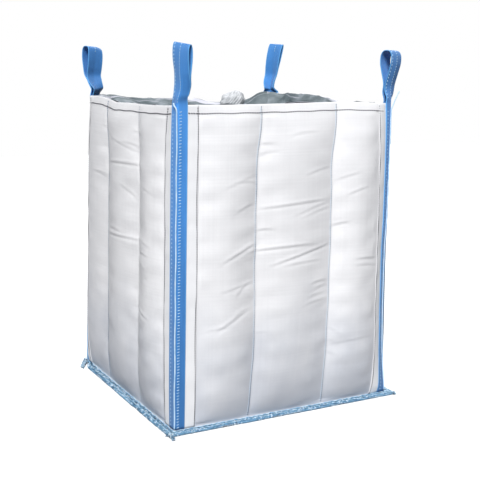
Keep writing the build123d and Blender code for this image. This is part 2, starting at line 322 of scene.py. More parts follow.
def tubes_object(name, paths, radii, material, sides):
    """Several tubes as one piece. Texture coordinates: round each tube, and along it."""
    vertices, faces, uv, first = [], [], [], 0
    for number, (path, radius) in enumerate(zip(paths, radii)):
        path = np.asarray(path, float)
        rings = tube_rings(path, radius, sides)
        v = lengths(path) + 0.37 * number
        u = np.linspace(0, 0.012, sides, endpoint=False)
        vertices.append(rings.reshape(-1, 3))
        uv.append(np.stack(np.meshgrid(u, v), -1).reshape(-1, 2))
        faces += loft_faces(len(rings), sides, first)
        first += rings.shape[0] * sides
    return make_object(name, np.concatenate(vertices), faces, np.concatenate(uv), material, True)


# A stitch's rings: where along it, how thick, and how far they stand out, in radii
STITCH_AT = np.array([0.0, 0.14, 0.5, 0.86, 1.0])
STITCH_SIZE = np.array([0.35, 0.9, 1.0, 0.9, 0.35])
STITCH_SINK = np.array([-1.3, -0.1, 0.15, -0.1, -1.3])
STITCH_SIDES = 6


def stitches_object(name, starts, ends, normals, radius, material):
    """Separate stitches, each a short thread that dips into the cloth at both ends."""
    starts, ends, normals = (np.concatenate(x) for x in (starts, ends, normals))
    along = ends - starts
    tangent = unit(along)
    normals = unit(normals - tangent * (normals * tangent).sum(-1, keepdims=True))
    side = np.cross(tangent, normals)
    centre = starts[:, None] + along[:, None] * STITCH_AT[:, None]
    centre = centre + normals[:, None] * (STITCH_SINK * radius)[:, None]
    ring = (STITCH_SIZE * radius)[:, None, None]
    angle = circle(STITCH_SIDES)
    cos, sin = np.cos(angle)[:, None], np.sin(angle)[:, None]
    points = centre[:, :, None] + ring * (cos * side[:, None, None] + sin * normals[:, None, None])
    count, rings = points.shape[:2]
    one = loft_faces(rings, STITCH_SIDES)
    faces = [[i + n * rings * STITCH_SIDES for i in face] for n in range(count) for face in one]
    u = np.broadcast_to(np.linspace(0, 0.006, STITCH_SIDES), (count, rings, STITCH_SIDES))
    v = np.arange(count)[:, None, None] * 0.011 + STITCH_AT[:, None] * 0.009
    uv = np.stack([u, np.broadcast_to(v, u.shape)], -1)
    return make_object(name, points, faces, uv, material, True)


def smooth_path(points, count):
    """A smooth curve through points, as count points evenly spaced along it."""
    p = np.asarray(points, float)
    p = np.concatenate([[2 * p[0] - p[1]], p, [2 * p[-1] - p[-2]]])
    fine = []
    for a, b, c, d in zip(p, p[1:], p[2:], p[3:]):
        t = np.linspace(0, 1, 24, endpoint=False)[:, None]
        bent = (2 * a - 5 * b + 4 * c - d) * t**2 + (3 * b - a - 3 * c + d) * t**3
        fine.append(0.5 * (2 * b + (c - a) * t + bent))
    fine = np.concatenate([*fine, p[-2:-1]])
    length = lengths(fine)
    at = np.linspace(0, length[-1], count)
    return np.stack([np.interp(at, length, column) for column in fine.T], -1)


def on_bag(obj, slot, *nodes, **cloth):
    """Puts a piece on the bag and hides the CAD nodes it stands for. Its slot and its flat cloth
    are not used.
    """
    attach(obj, "bag")
    if nodes:
        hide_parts(*nodes)


# Materials


class Paint:
    """A node material: small helpers to build its colour, roughness and bump."""

    def __init__(self, name, roughness, specular, sheen=0.0):
        self.material = bpy.data.materials.new(name)
        self.material.use_nodes = True
        self.tree = self.material.node_tree
        self.shader = self.tree.nodes["Principled BSDF"]
        self.shader.inputs["Specular IOR Level"].default_value = specular
        self.shader.inputs["Roughness"].default_value = roughness
        self.shader.inputs["Sheen Weight"].default_value = sheen
        split = self.node("ShaderNodeSeparateXYZ")
        self.link(self.node("ShaderNodeUVMap").outputs["UV"], split.inputs[0])
        self.u, self.v = split.outputs[0], split.outputs[1]

    def node(self, kind, **settings):
        made = self.tree.nodes.new(kind)
        for key, value in settings.items():
            setattr(made, key, value)
        return made

    def link(self, source, target):
        if isinstance(source, bpy.types.NodeSocket):
            self.tree.links.new(source, target)
        else:
            target.default_value = source

    def math(self, operation, *values):
        made = self.node("ShaderNodeMath", operation=operation)
        for value, socket in zip(values, made.inputs):
            self.link(value, socket)
        return made.outputs[0]

    def noise(self, scale_u, scale_v, detail=2.0, offset=0.0):
        """Noise stretched along the cloth: waves per metre across and along."""
        across = self.math("MULTIPLY_ADD", self.u, scale_u, offset)
        along = self.math("MULTIPLY", self.v, scale_v)
        join = self.node("ShaderNodeCombineXYZ")
        self.link(across, join.inputs[0])
        self.link(along, join.inputs[1])
        made = self.node("ShaderNodeTexNoise", noise_dimensions="3D")
        self.link(join.outputs[0], made.inputs["Vector"])
        made.inputs["Scale"].default_value = 1.0
        made.inputs["Detail"].default_value = detail
        return made.outputs["Fac"]

    def ramp(self, factor, stops):
        made = self.node("ShaderNodeValToRGB")
        elements = made.color_ramp.elements
        while len(elements) < len(stops):
            elements.new(0.5)
        for element, (position, colour) in zip(elements, stops):
            element.position = position
            element.color = (*colour, 1) if len(colour) == 3 else colour
        self.link(factor, made.inputs["Fac"])
        return made.outputs["Color"]

    def tint(self, colour, factor, low, high):
        """Multiplies a colour by a grey that goes from low to high with the factor."""
        made = self.node("ShaderNodeVectorMath", operation="SCALE")
        self.link(colour, made.inputs[0])
        self.link(self.between(factor, 0.0, 1.0, low, high), made.inputs["Scale"])
        return made.outputs[0]

    def mix(self, factor, a, b):
        made = self.node("ShaderNodeMix", data_type="RGBA")
        self.link(factor, made.inputs["Factor"])
        for value, socket in ((a, made.inputs["A"]), (b, made.inputs["B"])):
            self.link((*value, 1) if isinstance(value, tuple) else value, socket)
        return made.outputs["Result"]

    def weave(self, pitch):
        """The height of a plain weave of flat tapes, from 0 between them to 1 on top."""
        rounds = [self.math("SINE", self.math("MULTIPLY", x, math.pi / pitch))
                  for x in (self.u, self.v)]
        over = self.math("GREATER_THAN", self.math("MULTIPLY", *rounds), 0.0)
        warp, weft = (self.math("ABSOLUTE", x) for x in rounds)
        gap = self.math("SUBTRACT", warp, weft)
        return self.math("MULTIPLY_ADD", gap, over, weft)

    def ribs(self, along, pitch):
        """Rounded ribs of one pitch, from 0 between them to 1 on top."""
        wave = self.math("SINE", self.math("MULTIPLY", along, math.pi / pitch))
        return self.math("ABSOLUTE", wave)

    def between(self, value, start, end, first=0.0, last=1.0, **settings):
        """Goes from first to last while a value goes from start to end."""
        made = self.node("ShaderNodeMapRange", **settings)
        self.link(value, made.inputs["Value"])
        for name, number in (("From Min", start), ("From Max", end), ("To Min", first),
                             ("To Max", last)):
            made.inputs[name].default_value = number
        return made.outputs[0]

    def finish(self, colour, height=None, depth=0.0003, roughness=None):
        self.link(colour, self.shader.inputs["Base Color"])
        if roughness is not None:
            self.link(roughness, self.shader.inputs["Roughness"])
        if height is not None:
            bump = self.node("ShaderNodeBump")
            bump.inputs["Strength"].default_value = 1.0
            bump.inputs["Distance"].default_value = depth
            self.link(height, bump.inputs["Height"])
            self.link(bump.outputs[0], self.shader.inputs["Normal"])
        return self.material


TAPE_WIDE, TAPE_LONG = 0.006, 0.5  # how far a tape's own shade goes across it, and along it
CLOTH_ROUGH = 0.55


def woven_material(name, light, dark, pitch, streak, soil=0.06, foot=0.0):
    """Woven flat tapes: each tape a little lighter or darker, with faint soiling, and painted shade
    towards the foot.
    """
    paint = Paint(name, CLOTH_ROUGH, 0.35)
    height = paint.weave(pitch)
    warp = paint.noise(1 / TAPE_WIDE, 1 / TAPE_LONG, 3.0)
    weft = paint.noise(1 / TAPE_LONG, 1 / TAPE_WIDE, 3.0, 9.0)
    patch = paint.noise(5.0, 4.0, 4.0, 31.0)
    colour = paint.ramp(height, [(0.0, dark), (0.45, light), (1.0, light)])
    for factor, much in ((warp, streak), (weft, streak), (patch, soil)):
        colour = paint.tint(colour, factor, 1 - much, 1 + much)
    # painted shade: greyer and bluer towards the foot, in patches, standing for the weaker light
    # low on the walls
    if foot:  # greyer towards the foot, in patches
        low = paint.between(paint.math("MULTIPLY_ADD", patch, 0.5, paint.v), 0.20, 0.82, foot, 0.0,
                            interpolation_type="SMOOTHSTEP")
        colour = paint.mix(low, colour, (0.34, 0.38, 0.46))
    rough = paint.math("MULTIPLY_ADD", warp, 0.3, CLOTH_ROUGH - 0.15)
    return paint.finish(colour, height, 0.00030, rough)


def webbing_material():
    """Webbing: fine ribs along it, crossed by a slanted weft, with paler selvages and scuffs, and
    painted shade at its foot and in the loop.
    """
    paint = Paint("webbing", 0.5, 0.35, sheen=0.15)
    rib = paint.ribs(paint.u, 0.0026)
    weft = paint.ribs(paint.math("MULTIPLY_ADD", paint.u, 0.9, paint.v), 0.0032)
    height = paint.math("MULTIPLY", rib, paint.math("MULTIPLY_ADD", weft, 0.4, 0.6))
    colour = paint.ramp(height, [(0.0, (0.012, 0.085, 0.31)), (0.4, (0.045, 0.225, 0.60)),
                                 (1.0, (0.075, 0.29, 0.68))])
    edge = paint.math("ABSOLUTE", paint.math("SUBTRACT", paint.u, STRAP))
    selvage = paint.math("GREATER_THAN", edge, STRAP - 0.0035)
    colour = paint.mix(selvage, colour, (0.10, 0.36, 0.74))
    colour = paint.tint(colour, paint.noise(90.0, 7.0, 3.0), 0.82, 1.16)
    colour = paint.tint(colour, paint.noise(12.0, 9.0, 3.0, 7.0), 0.86, 1.14)
    # painted shade: darker towards the foot, lighter up to the rim, and darker again in the loop
    for low, high, first, last in ((0.0, RIM_Z, 0.74, 1.22),  # darker at the foot and in the loop
                                   (RIM_Z - 0.03, RIM_Z + 0.09, 1.0, 0.76)):
        climb = paint.math("DIVIDE", paint.math("SUBTRACT", paint.v, low), high - low)
        colour = paint.tint(colour, climb, first, last)
    return paint.finish(colour, height, 0.0007)


def thread_material(name, stops, spread=260.0):
    """Twisted thread, whose colour changes from stitch to stitch."""
    paint = Paint(name, 0.6, 0.25, sheen=0.2)
    ply = paint.ribs(paint.math("ADD", paint.u, paint.v), 0.0015)
    colour = paint.ramp(paint.noise(20.0, spread, 2.0), stops)
    colour = paint.tint(colour, ply, 0.8, 1.1)
    return paint.finish(colour, ply, 0.0003)


def skirt_material():
    """Thin grey cloth, painted dark in patches as the shade inside the bag, lighter in others, and
    pale along its sewn edge, where light reaches it.
    """
    paint = Paint("skirt_fabric", 0.6, 0.25)
    height = paint.weave(0.0022)
    patch = paint.noise(9.0, 16.0, 5.0)
    # painted shade: the grey cloth is darkened towards black in patches to stand for the shade
    # inside the bag
    colour = paint.ramp(patch, [(0.36, (0.085, 0.11, 0.12)), (0.54, (0.15, 0.18, 0.195)),
                                (0.70, (0.30, 0.33, 0.36))])
    # painted shade: darker streaks in the folds of the tuft
    creases = paint.ramp(paint.noise(45.0, 60.0, 4.0), [(0.36, (0.22, 0.24, 0.25)),
                                                        (0.50, (0.60, 0.61, 0.63))])
    colour = paint.mix(paint.between(paint.v, 0.40, 0.42), colour, creases)  # the tuft is paler
    # the sewn edge is left pale where light reaches it, above the painted shade
    pale = paint.ramp(paint.noise(3.2, 30.0, 3.0, 4.3), [(0.47, (0, 0, 0)), (0.58, (1, 1, 1))])
    sewn = paint.math("MULTIPLY", paint.math("LESS_THAN", paint.v, 0.021), pale)
    colour = paint.mix(sewn, colour, (0.60, 0.60, 0.67))
    colour = paint.tint(colour, height, 0.9, 1.05)
    return paint.finish(colour, height, 0.00025)


# the walls' cloth carries painted shade towards the foot
WOVEN = woven_material("woven_fabric", (0.76, 0.755, 0.765), (0.64, 0.645, 0.67), 0.0026, 0.055,
                       foot=0.6)
STRIP = woven_material("reinforcement_fabric", (0.80, 0.80, 0.815), (0.70, 0.71, 0.74), 0.0026,
                       0.02, soil=0.03)
EDGE = woven_material("binding_cloth", (0.12, 0.26, 0.41), (0.12, 0.30, 0.50), 0.0026, 0.12,
                      soil=0.25)
WEBBING = webbing_material()
SKIRT = skirt_material()
TAPE = woven_material("tie_tape", (0.74, 0.75, 0.76), (0.52, 0.54, 0.56), 0.0016, 0.03)
DARK = thread_material("dark_thread", [(0.3, (0.035, 0.035, 0.045)), (0.7, (0.10, 0.10, 0.12))])
SEAM = thread_material("seam_thread", [(0.3, (0.06, 0.10, 0.17)), (0.7, (0.17, 0.24, 0.34))])
PALE = thread_material("pale_thread", [(0.35, (0.20, 0.46, 0.66)), (0.5, (0.50, 0.74, 0.90)),
                                       (0.7, (0.75, 0.88, 0.96))])
PIPING = thread_material("piping", [(0.35, (0.42, 0.66, 0.88)), (0.65, (0.66, 0.82, 0.94))], 30.0)
SOFT = thread_material("soft_thread", [(0.4, (0.50, 0.62, 0.76)), (0.6, (0.66, 0.76, 0.86))])
LINE = thread_material("binding_line", [(0.42, (0.16, 0.38, 0.60)), (0.56, (0.60, 0.80, 0.92))],
                       60.0)
BINDING = thread_material(
    "binding_thread",
    [(0.39, (0.010, 0.03, 0.06)), (0.45, (0.05, 0.15, 0.27)), (0.51, (0.14, 0.31, 0.45)),
     (0.57, (0.32, 0.47, 0.60)), (0.61, (0.82, 0.88, 0.92))],
    85.0,
)

# Walls: each a sheet from the seam's edge at the foot, up the wall and over the hem


def tucked(points):
    """The edge of the foot is turned under at the back left corner."""
    x, y, z = np.moveaxis(np.asarray(points, float), -1, 0)
    far = smooth(np.hypot(x + BASE_HALF, y - BASE_HALF) / 0.11 - 0.15)
    keep = 1 - 0.85 * (1 - far) * (z < 0.02)
    x = np.where(x < -BASE_HALF, -BASE_HALF + (x + BASE_HALF) * keep, x)
    y = np.where(y > BASE_HALF, BASE_HALF + (y - BASE_HALF) * keep, y)
    return np.stack([x, y, z], -1)


SEAM_E = [0.0352, 0.026, 0.016, 0.009, 0.004, 0.0012]  # how far the foot's rows stand out
SEAM_ZS = [0.0042, 0.0042, 0.0044, 0.0048, 0.0062, 0.0095]
HEM_E = [-0.0010, -0.0026, -0.0042, -0.0046, -0.0046, -0.0046]  # the rows over the rim
HEM_ZS = [RIM_Z + up for up in (0.0006, 0.0012, 0.0004, -0.008, -0.018, -0.029)]
ROW_STEP = 0.008
COLUMNS = [7, 26, 38, 26, 7]  # between a wall's ends, its corner strips and its two seams


def wall_grid(wall):
    """The grid of a wall: points (rows, columns, 3), before its cloth is simulated."""
    left, right = wall, (wall + 1) % 4
    zs = np.concatenate([SEAM_ZS, np.arange(0.016, RIM_Z - 0.003, ROW_STEP), HEM_ZS])
    es = np.concatenate([SEAM_E, np.zeros(len(zs) - len(SEAM_E) - len(HEM_E)), HEM_E])
    rows = []
    for z, e in zip(zs, es):
        level = min(z, RIM_Z)
        ends = [FOLD_START[c] for c in (left, right)]
        h_left, h_right = corner_half(left, level), corner_half(right, level)
        if e > 0.001:
            ends = [end * (1 - smooth(e / 0.01)) for end in ends]
        keys = [
            -h_left + ends[0] - e,
            -h_left + BAND,
            seam_at(wall, 0, level),
            seam_at(wall, 1, level),
            h_right - BAND,
            h_right - ends[1] + e,
        ]
        a = [np.linspace(p, q, n, endpoint=False) for p, q, n in zip(keys, keys[1:], COLUMNS)]
        a = np.concatenate([*a, keys[-1:]])
        inner = np.clip(a, -h_left + ends[0], h_right - ends[1])
        point = on_wall(wall, inner, level, WALL_MID + e)
        point = point + turned(np.stack([a - inner, 0 * a, 0 * a + z - level], -1), wall)
        rows.append(tucked(point) if e > 0.001 else point)
    return np.array(rows)


def wall_free(shape):
    """Which of a wall's points the cloth simulation may move."""
    rows, cols = shape
    row, col = np.meshgrid(np.arange(rows), np.arange(cols), indexing="ij")
    stops = np.cumsum(COLUMNS)
    held = (row < len(SEAM_E) + 1) | (row > rows - len(HEM_E) - 5)
    held |= (col <= stops[0]) | (col >= stops[3]) | (col == stops[1]) | (col == stops[2])
    return ~held


FRAMES = 20


def simulated(items):
    """Runs Blender's cloth on several sheets at once and returns their settled points.

    Each item is (name, start points, rest points, free, pressure, wrap, gravity, bending)."""
    cloths = []
    for name, start, rest, free, pressure, wrap, gravity, bending in items:
        obj = make_object(name, start, grid_faces(*start.shape[:2], wrap).tolist())
        group = obj.vertex_groups.new(name="held")
        group.add(np.flatnonzero(~free.ravel()).tolist(), 1.0, "REPLACE")
        obj.shape_key_add(name="Basis")
        key = obj.shape_key_add(name="rest")
        key.data.foreach_set("co", rest.reshape(-1).astype(np.float32))
        cloth = obj.modifiers.new("cloth", "CLOTH")
        settings = cloth.settings
        settings.rest_shape_key = key
        settings.quality, settings.mass, settings.air_damping = 5, 0.3, 1
        settings.tension_stiffness = settings.compression_stiffness = 15
        settings.shear_stiffness, settings.bending_stiffness = 5, bending
        settings.vertex_group_mass = "held"
        settings.use_pressure = pressure != 0
        settings.uniform_pressure_force = pressure
        settings.effector_weights.gravity = gravity
        cloth.collision_settings.use_collision = False
        cloth.point_cache.frame_start, cloth.point_cache.frame_end = 1, FRAMES
        cloths.append((obj, start.shape))
    for number in range(1, FRAMES + 1):
        bpy.context.scene.frame_set(number)
    graph = bpy.context.evaluated_depsgraph_get()
    settled = []
    for obj, shape in cloths:
        mesh = bpy.data.meshes.new_from_object(obj.evaluated_get(graph))
        points = np.empty(len(mesh.vertices) * 3)
        mesh.vertices.foreach_get("co", points)
        settled.append(points.reshape(shape))
        bpy.data.meshes.remove(mesh)
    for obj, _ in cloths:
        mesh = obj.data
        bpy.data.objects.remove(obj)
        bpy.data.meshes.remove(mesh)
    bpy.context.scene.frame_set(1)
    return settled


SHEAR = [0.035, 0.03, -0.03, -0.03]  # which way each wall's cloth is dragged
SLACK = 0.03  # how much longer the cloth is than its wall
START_ROUGH = 0.0008  # unevenness that the simulation starts from
WALL_PRESSURE, SKIRT_GRAVITY = 3.0, 0.15
WALL_BENDING, SKIRT_BENDING = 0.1, 0.05
FINER = 2.0  # how much stronger the finer part of the simulation's work is made
BLUR = 9  # points over which the rest is averaged

CREASES = [  # in mm and degrees: where, along the wall and up; which way; how long; and how deep
    [
        (-199, 780, 23, 59, 0.6), (-216, 625, 23, 114, 1.0), (-209, 493, 42, 47, 0.7),
        (-113, 998, 7, 56, 0.5), (42, 1033, 6, 90, 0.5), (9, 785, 4, 228, 0.8),
        (-51, 632, 3, 195, 1.0), (38, 601, 13, 198, 1.0), (38, 571, 3, 130, 0.5),
        (-114, 699, 3, 52, 0.7), (111, 493, 4, 55, 0.6), (126, 472, 5, 50, 0.5),
        (199, 699, 15, 58, 0.8), (231, 875, 17, 81, 0.5), (267, 820, 17, 70, 0.6),
        (328, 563, -6, 101, 0.8), (327, 537, -8, 96, 0.5), (-213, 412, 26, 51, 0.6),
        (-243, 386, 28, 119, 0.9), (-298, 361, 10, 76, 0.4), (191, 295, -39, 46, 0.5),
        (184, 254, -39, 38, 0.5), (177, 210, -23, 38, 0.5), (104, 444, 5, 72, 0.4),
        (95, 419, 7, 83, 0.4), (-126, 327, 6, 42, 0.3),
    ],
    [],
    [],
    [
        (39, 632, 3, 253, 0.9), (226, 600, 2, 94, 0.7), (216, 559, -9, 76, 0.7),
        (218, 384, -7, 105, 1.0), (199, 333, -5, 68, 0.7), (-23, 652, 2, 128, 0.5),
        (50, 906, 2, 233, 1.0), (-125, 1004, -22, 106, 1.0), (150, 1022, -10, 58, 0.6),
        (43, 973, -9, 194, 0.5), (-211, 840, -8, 115, 0.5),
    ],
]
CREASE_DEEP, CREASE_WIDE = 0.0025, 0.0074
MORE_CREASES = [8, 46, 46, 10]  # how many more there are, anywhere, and which way they run
CREASE_TURN = [14, 14, -14, -14]


def crease_list(wall):
    rng = np.random.default_rng(90 + wall)
    found = [(a / 1000, z / 1000, turn, long / 1000, deep)
             for a, z, turn, long, deep in CREASES[wall]]
    for _ in range(MORE_CREASES[wall]):
        side, hand = rng.integers(0, 2), rng.choice((-1, 1))
        z = rng.uniform(0.22, 1.0)
        long = rng.uniform(0.05, 0.17)
        a = SEAMS[side] + hand * (0.012 + long / 2)
        depth = rng.uniform(0.3, 0.9 if MORE_CREASES[wall] > 20 else 0.5)
        found.append((a, z, CREASE_TURN[wall] + rng.normal(0, 7), long, depth))
    return found


def creased(points, wall):
    """A wall's settled cloth on twice as many rows, with the sharp creases pressed into it."""
    between = (9 * (points[1:-2] + points[2:-1]) - points[:-3] - points[3:]) / 16
    ends = [points[i] / 2 + points[i + 1] / 2 for i in (0, -2)]
    between = np.concatenate([ends[:1], between, ends[1:]])
    fine = np.empty((2 * len(points) - 1, *points.shape[1:]))
    fine[::2], fine[1::2] = points, between
    local = turned(fine, -wall)
    a, z = local[..., 0], local[..., 2]
    push = np.zeros(a.shape)
    for a0, z0, turn, long, depth in crease_list(wall):
        cos, sin = math.cos(math.radians(turn)), math.sin(math.radians(turn))
        along = ((a - a0) * cos + (z - z0) * sin) / (long * 0.6)
        off = ((z - z0) * cos - (a - a0) * sin + 0.004 * along**2) / CREASE_WIDE
        push += depth * 1.6 * off * np.exp(-(off**2)) * np.exp(-(along**4))
    clear = np.ones(a.shape)
    for side in (0, 1):
        clear *= smooth((np.abs(a - seam_at(wall, side, z)) - 0.002) / 0.008)
    clear *= smooth((half_width(z) - np.abs(a) - BAND) / 0.012) * smooth((z - 0.03) / 0.05)
    clear *= smooth((RIM_Z - 0.04 - z) / 0.05)
    local[..., 1] -= CREASE_DEEP * push * clear
    return turned(local, wall)


def sharpened(settled, base):
    """Makes the finer part of what the simulation did to a sheet stronger."""
    moved = settled - base
    broad = moved
    for axis in (0, 1):
        pad = [(BLUR // 2, BLUR // 2) if i == axis else (0, 0) for i in range(3)]
        total = np.cumsum(np.pad(broad, pad, mode="edge"), axis)
        total = np.concatenate([np.zeros_like(total.take([0], axis)), total], axis)
        low = total.take(range(total.shape[axis] - BLUR), axis)
        broad = (total.take(range(BLUR, total.shape[axis]), axis) - low) / BLUR
    free = np.abs(moved).max(-1, keepdims=True) > 0
    return settled + (FINER - 1) * (moved - broad) * free


def wall_item(wall):
    grid = wall_grid(wall)
    free = wall_free(grid.shape[:2])
    local = turned(grid, -wall)
    a, z = local[..., 0], local[..., 2]
    rest, start = local.copy(), local.copy()
    rest[..., 2] = z * (1 + SLACK) + SHEAR[wall] * a
    start[..., 1] -= free * START_ROUGH * waves(a, 2 * z, wall + 1, 0.05, 60)
    return (f"cloth_{wall}", turned(start, wall), turned(rest, wall), free, WALL_PRESSURE, False,
            0.0, WALL_BENDING)


# Skirt: a ring of cloth from inside the rim to the neck, then the tuft above the tie

NECK_R, NECK_Z = 0.027, RIM_Z - 0.034
TUFT_LEAN = 0.010
TUFT = [(0, 0), (0.006, 0.007), (0.0155, 0.017), (0.018, 0.031), (0.0135, 0.047), (0.003, 0.059),
        (-0.012, 0.0665), (-0.0245, 0.069)]  # the tuft's outline: out from the neck, and up
SKIRT_ROWS, SKIRT_COLS, TUFT_ROWS = 50, 288, 26
SKIRT_ANGLE = circle(SKIRT_COLS) + math.pi / 4
PLEATS, PINCH = 24, 0.16
SKIRT_DEEP, TUFT_DEEP = 0.40, 0.10  # lengths of cloth from the rim to the tie, and above it


def rim_outline(angle, inset):
    """How far in each direction the rim's face is from the middle, and how high it is there."""
    points = []
    for wall in range(4):
        left, right = (corner_half(c, RIM_Z) - FOLD_R[c] for c in (wall, (wall + 1) % 4))
        points.append(on_wall(wall, np.linspace(-left, right, 240), RIM_Z, -inset))
    x, y, z = np.concatenate(points).T
    turn = np.arctan2(y, x)
    return [np.interp(angle, turn, value, period=2 * math.pi) for value in (np.hypot(x, y), z)]


def skirt_grid():
    """Columns go round the bag and rows go in from the rim to the neck."""
    angle = SKIRT_ANGLE
    half = RIM_HALF - 0.0085
    direction = np.stack([np.cos(angle), np.sin(angle)], -1)
    reach, level = rim_outline(angle, 0.0042)
    reach = np.minimum(reach, (2 * half - 0.075) / np.abs(direction).sum(-1))
    s = np.linspace(0, 1, SKIRT_ROWS)[:, None]
    inward = np.interp(s, [0, 0.02, 0.06, 0.12, 1], [0, 0.010, 0.016, 0.030, 1])
    down = np.interp(s, [0, 0.02, 0.06, 0.12, 0.35, 0.75, 0.9, 1],
                     [-0.0015, -0.001, 0.018, 0.036, 0.066, 0.074, 0.058, 0.034])
    radius = reach * (1 - inward) + NECK_R * inward
    wobble = 0.35 * waves(np.cos(angle) * 2, np.sin(angle) * 2, 5, 1.0) + 0.6 * s
    swell = 0.7 + 0.3 * waves(np.sin(angle), np.cos(angle), 8, 0.5)
    size = 0.016 * smooth(s / 0.5) * smooth((1.04 - s) / 0.2) * swell
    folds = np.sin(PLEATS * angle + 3 * wobble) + 0.5 * np.sin(2.3 * PLEATS * angle + 7 * wobble)
    x, y = radius * direction[:, 0], radius * direction[:, 1]
    loose = smooth(s / 0.08) * smooth((1 - s) / 0.1)
    rumple = 0.0042 * waves(x, y, 12, 0.022) + 0.0050 * waves(x, y, 13, 0.05)
    z = RIM_Z - down + size * folds + rumple * loose
    broad, fine = (np.maximum(0, waves(x[:1], y[:1], *w)) for w in ((15, 0.035), (16, 0.012)))
    edge = broad + 0.6 * fine
    z = z + (level - RIM_Z + 0.0024 * edge) * smooth((0.25 - s) / 0.2)
    pinch = 1 + PINCH * smooth((s - 0.7) / 0.3) * np.sin(PLEATS * angle)
    pinch = pinch - 0.012 * loose * waves(x, y, 14, 0.05)
    return np.stack([x * pinch, y * pinch, z], -1)


def tuft_grid():
    """The gathered end above the tie: it flares, folds over and closes at the top."""
    profile = smooth_path([(NECK_R + r, NECK_Z + z) for r, z in TUFT], TUFT_ROWS)
    s = np.linspace(0, 1, TUFT_ROWS)[:, None]
    twist = SKIRT_ANGLE + 1.3 * s
    folds = np.sin(9 * twist + 1.5 * np.sin(3 * twist)) * np.sin(math.pi * s) ** 0.6
    coil = np.sin(2 * math.pi * 3.5 * s + SKIRT_ANGLE) * np.sin(math.pi * s)
    pleat = PINCH * NECK_R * np.sin(PLEATS * SKIRT_ANGLE) * (1 - s) ** 3
    radius = profile[:, :1] * (1 + 0.045 * folds + 0.035 * coil) + pleat
    z = profile[:, 1:2] + (0.0012 * folds + 0.0016 * coil) * smooth(s * 2) * smooth((1.02 - s) * 5)
    x, y = radius * np.cos(twist), radius * np.sin(twist)
    lump = waves(x, y, 21, 0.018)
    leaning = TUFT_LEAN * smooth(s * 1.5)[..., None] * RIGHT
    z = z + 0.003 * lump * smooth(s * 2)
    return np.stack([x * (1 + 0.04 * lump), y * (1 + 0.04 * lump), z], -1) + leaning


walls = [wall_grid(k) for k in range(4)]
skirt = skirt_grid()
items = [wall_item(k) for k in range(4)]
free = np.zeros(skirt.shape[:2], bool)
free[2:-3] = True
slack = skirt * np.array([1.05, 1.05, 1.0])
items.append(("cloth_skirt", skirt, slack, free, 0.0, True, SKIRT_GRAVITY, SKIRT_BENDING))
settled = simulated(items)
walls = [sharpened(points, grid) for points, grid in zip(settled, walls)]
skirt = settled[4]
walls = [creased(points, k) for k, points in enumerate(walls)]

for wall, points in zip(WALLS, walls):
    panel = sheet_object(f"{wall}_wall", points, grid_uv(points), WOVEN, WALL_T)
    on_bag(panel, "woven_fabric", f"{wall}_panel",
           flat=(0.97, 1.20), held="stretched", rests_on=["bottom_sheet"])

whole = np.concatenate([skirt, tuft_grid()[1:]])
deep = np.concatenate([np.linspace(0, SKIRT_DEEP, SKIRT_ROWS),
                       SKIRT_DEEP + np.linspace(0, TUFT_DEEP, TUFT_ROWS)[1:]])
skirt_uv = np.stack(np.meshgrid(np.linspace(0, 3.4, SKIRT_COLS), deep), -1)
skirt_sheet = sheet_object("skirt_sheet", whole, skirt_uv, SKIRT, 0.0010, wrap=True)
on_bag(skirt_sheet, "skirt_fabric", "top_skirt",
       flat=(3.4, 0.40), held="gathered", rests_on=["tie_tape"])

# Bottom: one flat square of cloth
side = np.linspace(-(BASE_HALF + FIN), BASE_HALF + FIN, 61)
bx, by = np.meshgrid(side, side)
bottom = tucked(np.stack([bx, by, 0.0016 + 0.0004 * waves(bx, by, 3, 0.12)], -1))
bottom_sheet = sheet_object("bottom_sheet", bottom, np.stack([bx, by], -1) + 1, WOVEN, 0.0012)
on_bag(bottom_sheet, "woven_fabric", "bottom_panel",
       flat=(0.97, 0.97), held="laid", rests_on=["floor"])

# Corner strips: doubled cloth folded round each corner
STRIP_ZS = np.concatenate([np.linspace(0.008, RIM_Z - 0.004, 130), [RIM_Z + 0.0012]])
STRIP_US = np.concatenate([np.linspace(-BAND, -0.02, 14), np.linspace(-0.017, 0.017, 18),
                           np.linspace(0.02, BAND, 14)])
for c, corner in enumerate(CORNERS):
    u, z = np.meshgrid(STRIP_US, STRIP_ZS)
    pucker = 0.0006 * waves(u * 0.3, z, 60 + c, 0.02) * smooth((np.abs(u) - 0.03) / 0.02)
    points, _ = on_corner(c, u, z, STRIP_MID + 0.0003 + pucker)
    strip = sheet_object(f"{corner}_strip", points, np.stack([u + 1, z], -1), STRIP, STRIP_T)
    on_bag(strip, "reinforcement_fabric", f"corner_reinforcement_{corner}",
           flat=(2 * BAND, RIM_Z), held="folded", rests_on=[f"{WALLS[c]}_wall"])

# Webbing: strap, loop and inner leg of each corner are one band
WEB_US = np.concatenate([[-STRAP, -STRAP + 0.0007], np.linspace(-STRAP + 0.003, STRAP - 0.003, 27),
                         [STRAP - 0.0007, STRAP]])
WEB_EDGE = np.ones(len(WEB_US))
WEB_EDGE[[0, -1]] = 0.35
LEG = [  # a loop's outer leg: outward from the hinge, and up from it
    (-0.004, -0.030), (-0.004, -0.010), (-0.001, 0.012), (0.005, 0.034), (0.0145, 0.066),
    (0.0250, 0.102), (0.0245, 0.132), (0.0130, 0.1485),
]
LOOP_TOP = (0.0, 0.1520)
FOLD_AT = (-0.035, 0.030, 0.100)  # heights from the hinge at which a loop's fold is given
